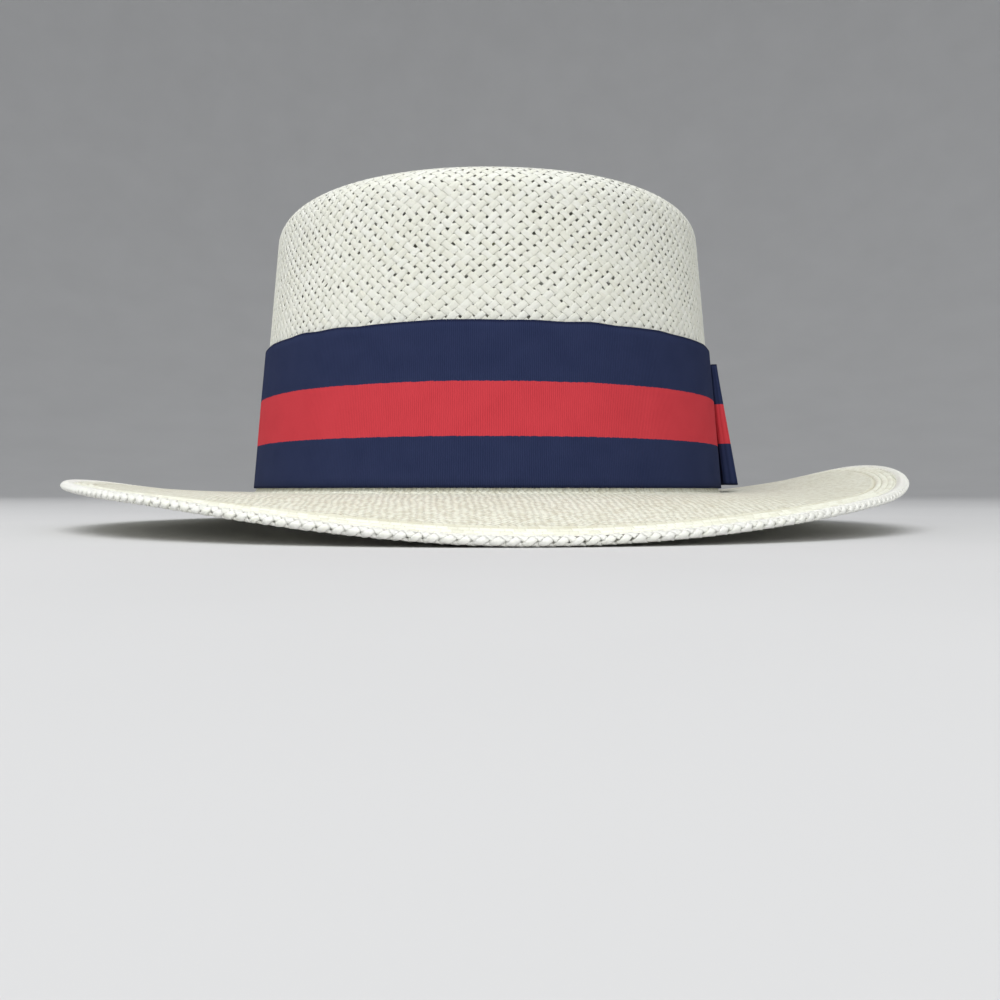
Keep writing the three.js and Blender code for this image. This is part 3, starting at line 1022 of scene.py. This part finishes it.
def close_weave():
    straw = Finish("brim_straw", 0.6, specular=0.35, subsurface=0.05)
    x, y, _ = straw.object_place()
    wobble = straw.noise(straw.point(x, y), 130.0, 3.0)
    shift = straw.times(straw.minus(wobble, 0.5), 1.7)
    column = straw.times(x, 0.5 / CELL_HALF_WIDTH)
    row_place = straw.times(y, 0.5 / CELL_HALF_HEIGHT)
    first = straw.plus(straw.plus(column, row_place), shift)
    second = straw.minus(straw.minus(row_place, column), shift)
    number = straw.plus(straw.math("FLOOR", first), straw.math("FLOOR", second))
    upper = straw.math("ABSOLUTE", straw.math("MODULO", number, 2.0))
    upper = straw.math("GREATER_THAN", upper, 0.5)
    one = straw.times(straw.rounded(first, 3.0), upper)
    other = straw.times(straw.rounded(second, 3.0), straw.minus(1.0, upper))
    weave = straw.plus(one, other)
    u, into_band = straw.uv()
    # strands of the edge band run along the rim, in short visible lengths
    run = straw.times(u, LENGTHS_ROUND)
    lane = straw.times(into_band, float(EDGE_RIBS))
    lane_number = straw.times(straw.math("FLOOR", lane), 0.5)
    band_place = straw.plus(run, straw.plus(lane_number, shift))
    lengths = straw.rounded(band_place, 6.0)
    fibres = straw.grain(u, 160.0, into_band, 40.0, 3.0)
    banded = straw.plus(straw.times(lengths, 0.45), straw.times(fibres, 0.7))
    in_band = straw.ramp(into_band, 0.005, 0.02)
    off_band = straw.minus(1.0, in_band)

    def either(inner, outer):
        """One value on the open brim and another in the edge band."""
        return straw.plus(straw.times(inner, off_band), straw.times(outer, in_band))

    def own_shade(first_number, second_number):
        """A random value for each short visible length of straw."""
        cell = straw.point(straw.math("FLOOR", first_number), straw.math("FLOOR", second_number))
        return straw.add("ShaderNodeTexWhiteNoise", {"Vector": cell}).outputs[0]

    height = either(weave, banded)
    shade_in_band = straw.times(own_shade(band_place, lane), 0.75)
    shade = either(own_shade(first, second), shade_in_band)
    grain = straw.noise(straw.point(x, y), 900.0, 2.0)
    patch = straw.noise(straw.point(x, y), 30.0, 4.0)
    colour = straw.blend(straw.ramp(patch, 0.35, 0.7, 0.35, 0.75), IVORY, IVORY_LIGHT)
    colour = straw.blend(straw.ramp(shade, 0.25, 1.0, 0.0, 0.5), colour, DARK_STRAW_AND_CREVICE_SHADE)
    # painted shade: darker where the weave is low, in the crevices between strands
    colour = straw.blend(straw.ramp(height, 0.75, 0.1, 0.0, 0.38), colour, DARK_STRAW_AND_CREVICE_SHADE)
    # painted shade: a soft dark line along the ridge where the edge band begins, on both faces
    off_ridge = straw.distance(into_band, RIDGE_PLACE)
    painted_ridge_shade = straw.ramp(off_ridge, RIDGE_REACH, 0.0, 0.0, 0.68)
    colour = straw.blend(painted_ridge_shade, colour, PAINTED_RIDGE_SHADE)
    height = straw.plus(height, straw.times(grain, 0.35))
    return straw.finish(colour, height, 0.26 * MM, 0.9)


dress([brim], close_weave())
print("brim dressed")

# %% [markdown]
# ## Grosgrain
#
# A heavy weft makes the upright ribs, about 0.6 mm apart. Each rib changes colour at a slightly
# different height, so the edges of the stripes are finely stepped. Stripes, ribs and steps
# are read from the ribbon's length and width in millimetres.

# %% The striped ribbon
NAVY = (0.015, 0.022, 0.060, 1)
NAVY_LIGHT = (0.026, 0.035, 0.086, 1)
RED = (0.57, 0.050, 0.064, 1)
RED_DEEP = (0.43, 0.032, 0.042, 1)
DARK_EDGE = (0.006, 0.008, 0.024, 1)
RIB_PITCH = 0.62  # this and the next three are in millimetres of ribbon
RED_HALF = 7.75
RIBBON_RED = 22.25  # middle of the red stripe above the ribbon's lower edge
BOW_RED = 24.0


def grosgrain(name, width, red_middle):
    cloth = Finish(name, 0.92, specular=0.05)
    u, v = cloth.uv()
    rib = cloth.math("DIVIDE", u, RIB_PITCH)
    number = cloth.math("FLOOR", rib)
    random = cloth.add("ShaderNodeTexWhiteNoise", {"W": number}, noise_dimensions="1D").outputs[0]
    step = cloth.times(cloth.minus(random, 0.5), 0.15)
    off_red = cloth.distance(cloth.plus(v, step), red_middle)
    red = cloth.ramp(off_red, RED_HALF + 0.06, RED_HALF - 0.06)
    ridge = cloth.rounded(rib, 2.0)
    threads = cloth.grain(u, 1.2, v, 7.0, 2.0)
    patch = cloth.grain(u, 0.09, v, 0.12, 3.0)
    # painted light: the ribs' crests are lighter and the grooves between them darker; the patches are
    # the dye's own uneven tone
    crest_light_and_patches = cloth.plus(cloth.times(ridge, 0.55), cloth.times(patch, 0.6))
    navy = cloth.blend(cloth.ramp(crest_light_and_patches, 0.15, 1.0), NAVY, NAVY_LIGHT)
    scarlet = cloth.blend(cloth.ramp(crest_light_and_patches, 0.1, 0.8), RED_DEEP, RED)
    colour = cloth.blend(red, navy, scarlet)
    # the ribbon is darker along both its edges
    off_middle = cloth.distance(v, width / 2)
    near_edge = cloth.ramp(off_middle, width / 2 - 0.9, width / 2 - 0.5)
    colour = cloth.blend(cloth.times(near_edge, 0.6), colour, DARK_EDGE)
    height = cloth.plus(ridge, cloth.times(threads, 0.5))
    return cloth.finish(colour, height, 0.11 * MM, 0.8)


cloth_width = RIBBON_WIDTH / MM
dress([ribbon], grosgrain("ribbon_grosgrain", cloth_width, RIBBON_RED))
dress([loops_cloth], grosgrain("bow_grosgrain", cloth_width, BOW_RED))
dress([knot_cloth], grosgrain("knot_grosgrain", cloth_width, cloth_width / 2))
print("ribbon, bow and knot dressed")

# %% [markdown]
# ## Sweatband and thread
#
# The band inside is a grey-beige twill, and the thread that holds it is a shade lighter.


# %% Twill and thread
TWILL_PITCH = 1.1


def twill():
    cloth = Finish("sweatband_twill", 0.85, sheen=0.2, specular=0.25)
    u, v = cloth.uv()
    ridge = cloth.rounded(cloth.math("DIVIDE", cloth.plus(u, v), TWILL_PITCH), 2.0)
    fuzz = cloth.noise(cloth.point(u, v), 2.2, 3.0)
    patch = cloth.noise(cloth.point(u, v), 0.05, 3.0)
    # painted shade: the twill's grooves are darker and its ridges lighter; the patches are the cloth's
    # own uneven tone
    colour = cloth.blend(cloth.ramp(ridge, 0.0, 0.9), (0.27, 0.25, 0.20, 1), (0.42, 0.39, 0.33, 1))
    colour = cloth.blend(cloth.ramp(patch, 0.4, 0.8, 0.0, 0.4), colour, (0.33, 0.30, 0.24, 1))
    height = cloth.plus(ridge, cloth.times(fuzz, 0.5))
    return cloth.finish(colour, height, 0.12 * MM, 0.8)


def sewing_thread():
    thread = Finish("sewing_thread", 0.7, sheen=0.3, specular=0.3)
    u, v = thread.uv()
    ply = thread.math("FRACT", thread.plus(thread.times(u, 6.0), v))
    # painted shade: each turn of the twist is darker in its groove and lighter on its crest
    colour = thread.blend(thread.ramp(ply, 0.0, 0.6), (0.45, 0.42, 0.34, 1), (0.72, 0.69, 0.60, 1))
    return thread.finish(colour, ply, 0.05 * MM, 0.7)


dress([sweatband], twill())
dress([stitches], sewing_thread())
print("sweatband dressed")

# %% [markdown]
# ## Floor, light and camera
#
# The hat stands on its rim on a plain pale floor that curves up all round it like a shallow bowl,
# so that every view has the same quiet background. A large soft light from above does most of the
# work, as on a cloudy day, one in front fills the shade, and a weak one from the side keeps the
# turned-away wall readable. The camera stands almost straight in front, a finger's
# width above the floor.

# %% Floor that curves up all round
FLOOR_REACH, CURVE_RADIUS, WALL_HEIGHT = 2.0, 2.5, 0.6
floor, _, along, across = cells("floor", 128, 60)
sweep_curve = CURVE_RADIUS * math.pi / 2
sweep_run = across * (FLOOR_REACH + sweep_curve + WALL_HEIGHT)
past = sweep_run - FLOOR_REACH
bend = np.clip(past / CURVE_RADIUS, 0, math.pi / 2)
floor_reach = np.minimum(sweep_run, FLOOR_REACH) + CURVE_RADIUS * np.sin(bend)
floor_z = CURVE_RADIUS * (1 - np.cos(bend)) + np.clip(past - sweep_curve, 0, None)
round_it = FULL_TURN * along
place_points(
    floor, np.stack([floor_reach * np.cos(round_it), floor_reach * np.sin(round_it), floor_z], axis=-1)
)
close_up(floor, inside=True)
pale = Finish("pale_floor", 0.9, specular=0.2)
x, y, z = pale.object_place()
paper = pale.noise(pale.point(x, y, z), 6.0, 5.0)
pale.finish(pale.blend(paper, (0.60, 0.60, 0.60, 1), (0.66, 0.66, 0.66, 1)), paper, 0.1 * MM, 0.2)
floor.data.materials.append(pale.material)
floor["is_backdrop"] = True


# %% Lights
def soft_light(name, place, aim, size, watts):
    lamp = bpy.data.lights.new(name, "AREA")
    lamp.shape = "DISK"
    lamp.size = size
    lamp.energy = watts
    light = bpy.data.objects.new(name, lamp)
    bpy.context.collection.objects.link(light)
    look_along(light, place, aim)


def look_along(thing, place, aim):
    """Puts a light or a camera at a place and turns it to look at a point."""
    thing.location = place
    thing.rotation_euler = (Vector(aim) - Vector(place)).to_track_quat("-Z", "Y").to_euler()


middle = (0, 0, 0.05)
soft_light("overhead", (-0.3, -0.7, 1.4), middle, 1.5, 17.6)
soft_light("front", (0.3, -1.7, 0.6), middle, 1.2, 9.9)
soft_light("side", (-1.5, 0.2, 0.6), middle, 1.0, 4.6)
world = bpy.data.worlds.new("studio")
bpy.context.scene.world = world
world.use_nodes = True
world.node_tree.nodes["Background"].inputs[0].default_value = (0.95, 0.97, 1.0, 1)
world.node_tree.nodes["Background"].inputs[1].default_value = 0.5

# %% Camera
CAMERA_DISTANCE = 382 * MM  # in front of the middle of the crown
CAMERA_ASIDE = -24 * MM
CAMERA_HEIGHT = 13 * MM
LOOK_RIGHT = math.radians(4.4)
LOOK_UP = math.radians(-0.55)
lens = bpy.data.cameras.new("camera")
lens.lens = 36
lens.sensor_width = 36
lens.clip_start = 0.01
camera = bpy.data.objects.new("camera", lens)
bpy.context.collection.objects.link(camera)
stand = (CAMERA_ASIDE, crown_y - CAMERA_DISTANCE, CAMERA_HEIGHT)
aim = (
    stand[0] + math.sin(LOOK_RIGHT),
    stand[1] + math.cos(LOOK_RIGHT),
    stand[2] + math.tan(LOOK_UP),
)
look_along(camera, stand, aim)
bpy.context.scene.camera = camera
bpy.context.scene.view_settings.view_transform = "Standard"

# %% [markdown]
# ## Sizes
#
# The finished pieces should fill the same box as the solid model, give or take the height of a
# strand. Both boxes are measured and printed.

# %% Sizes of the finished model
finished_box = [list(corner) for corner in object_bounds()]
for axis in range(3):
    solid = (solid_box[1][axis] - solid_box[0][axis]) / MM
    finished = (finished_box[1][axis] - finished_box[0][axis]) / MM
    print(f"axis {axis}: solid {solid:.1f} mm, finished {finished:.1f} mm")
total = sum(triangles(piece) for piece in bpy.data.objects if piece.type == "MESH")
print("triangles in the scene:", total)
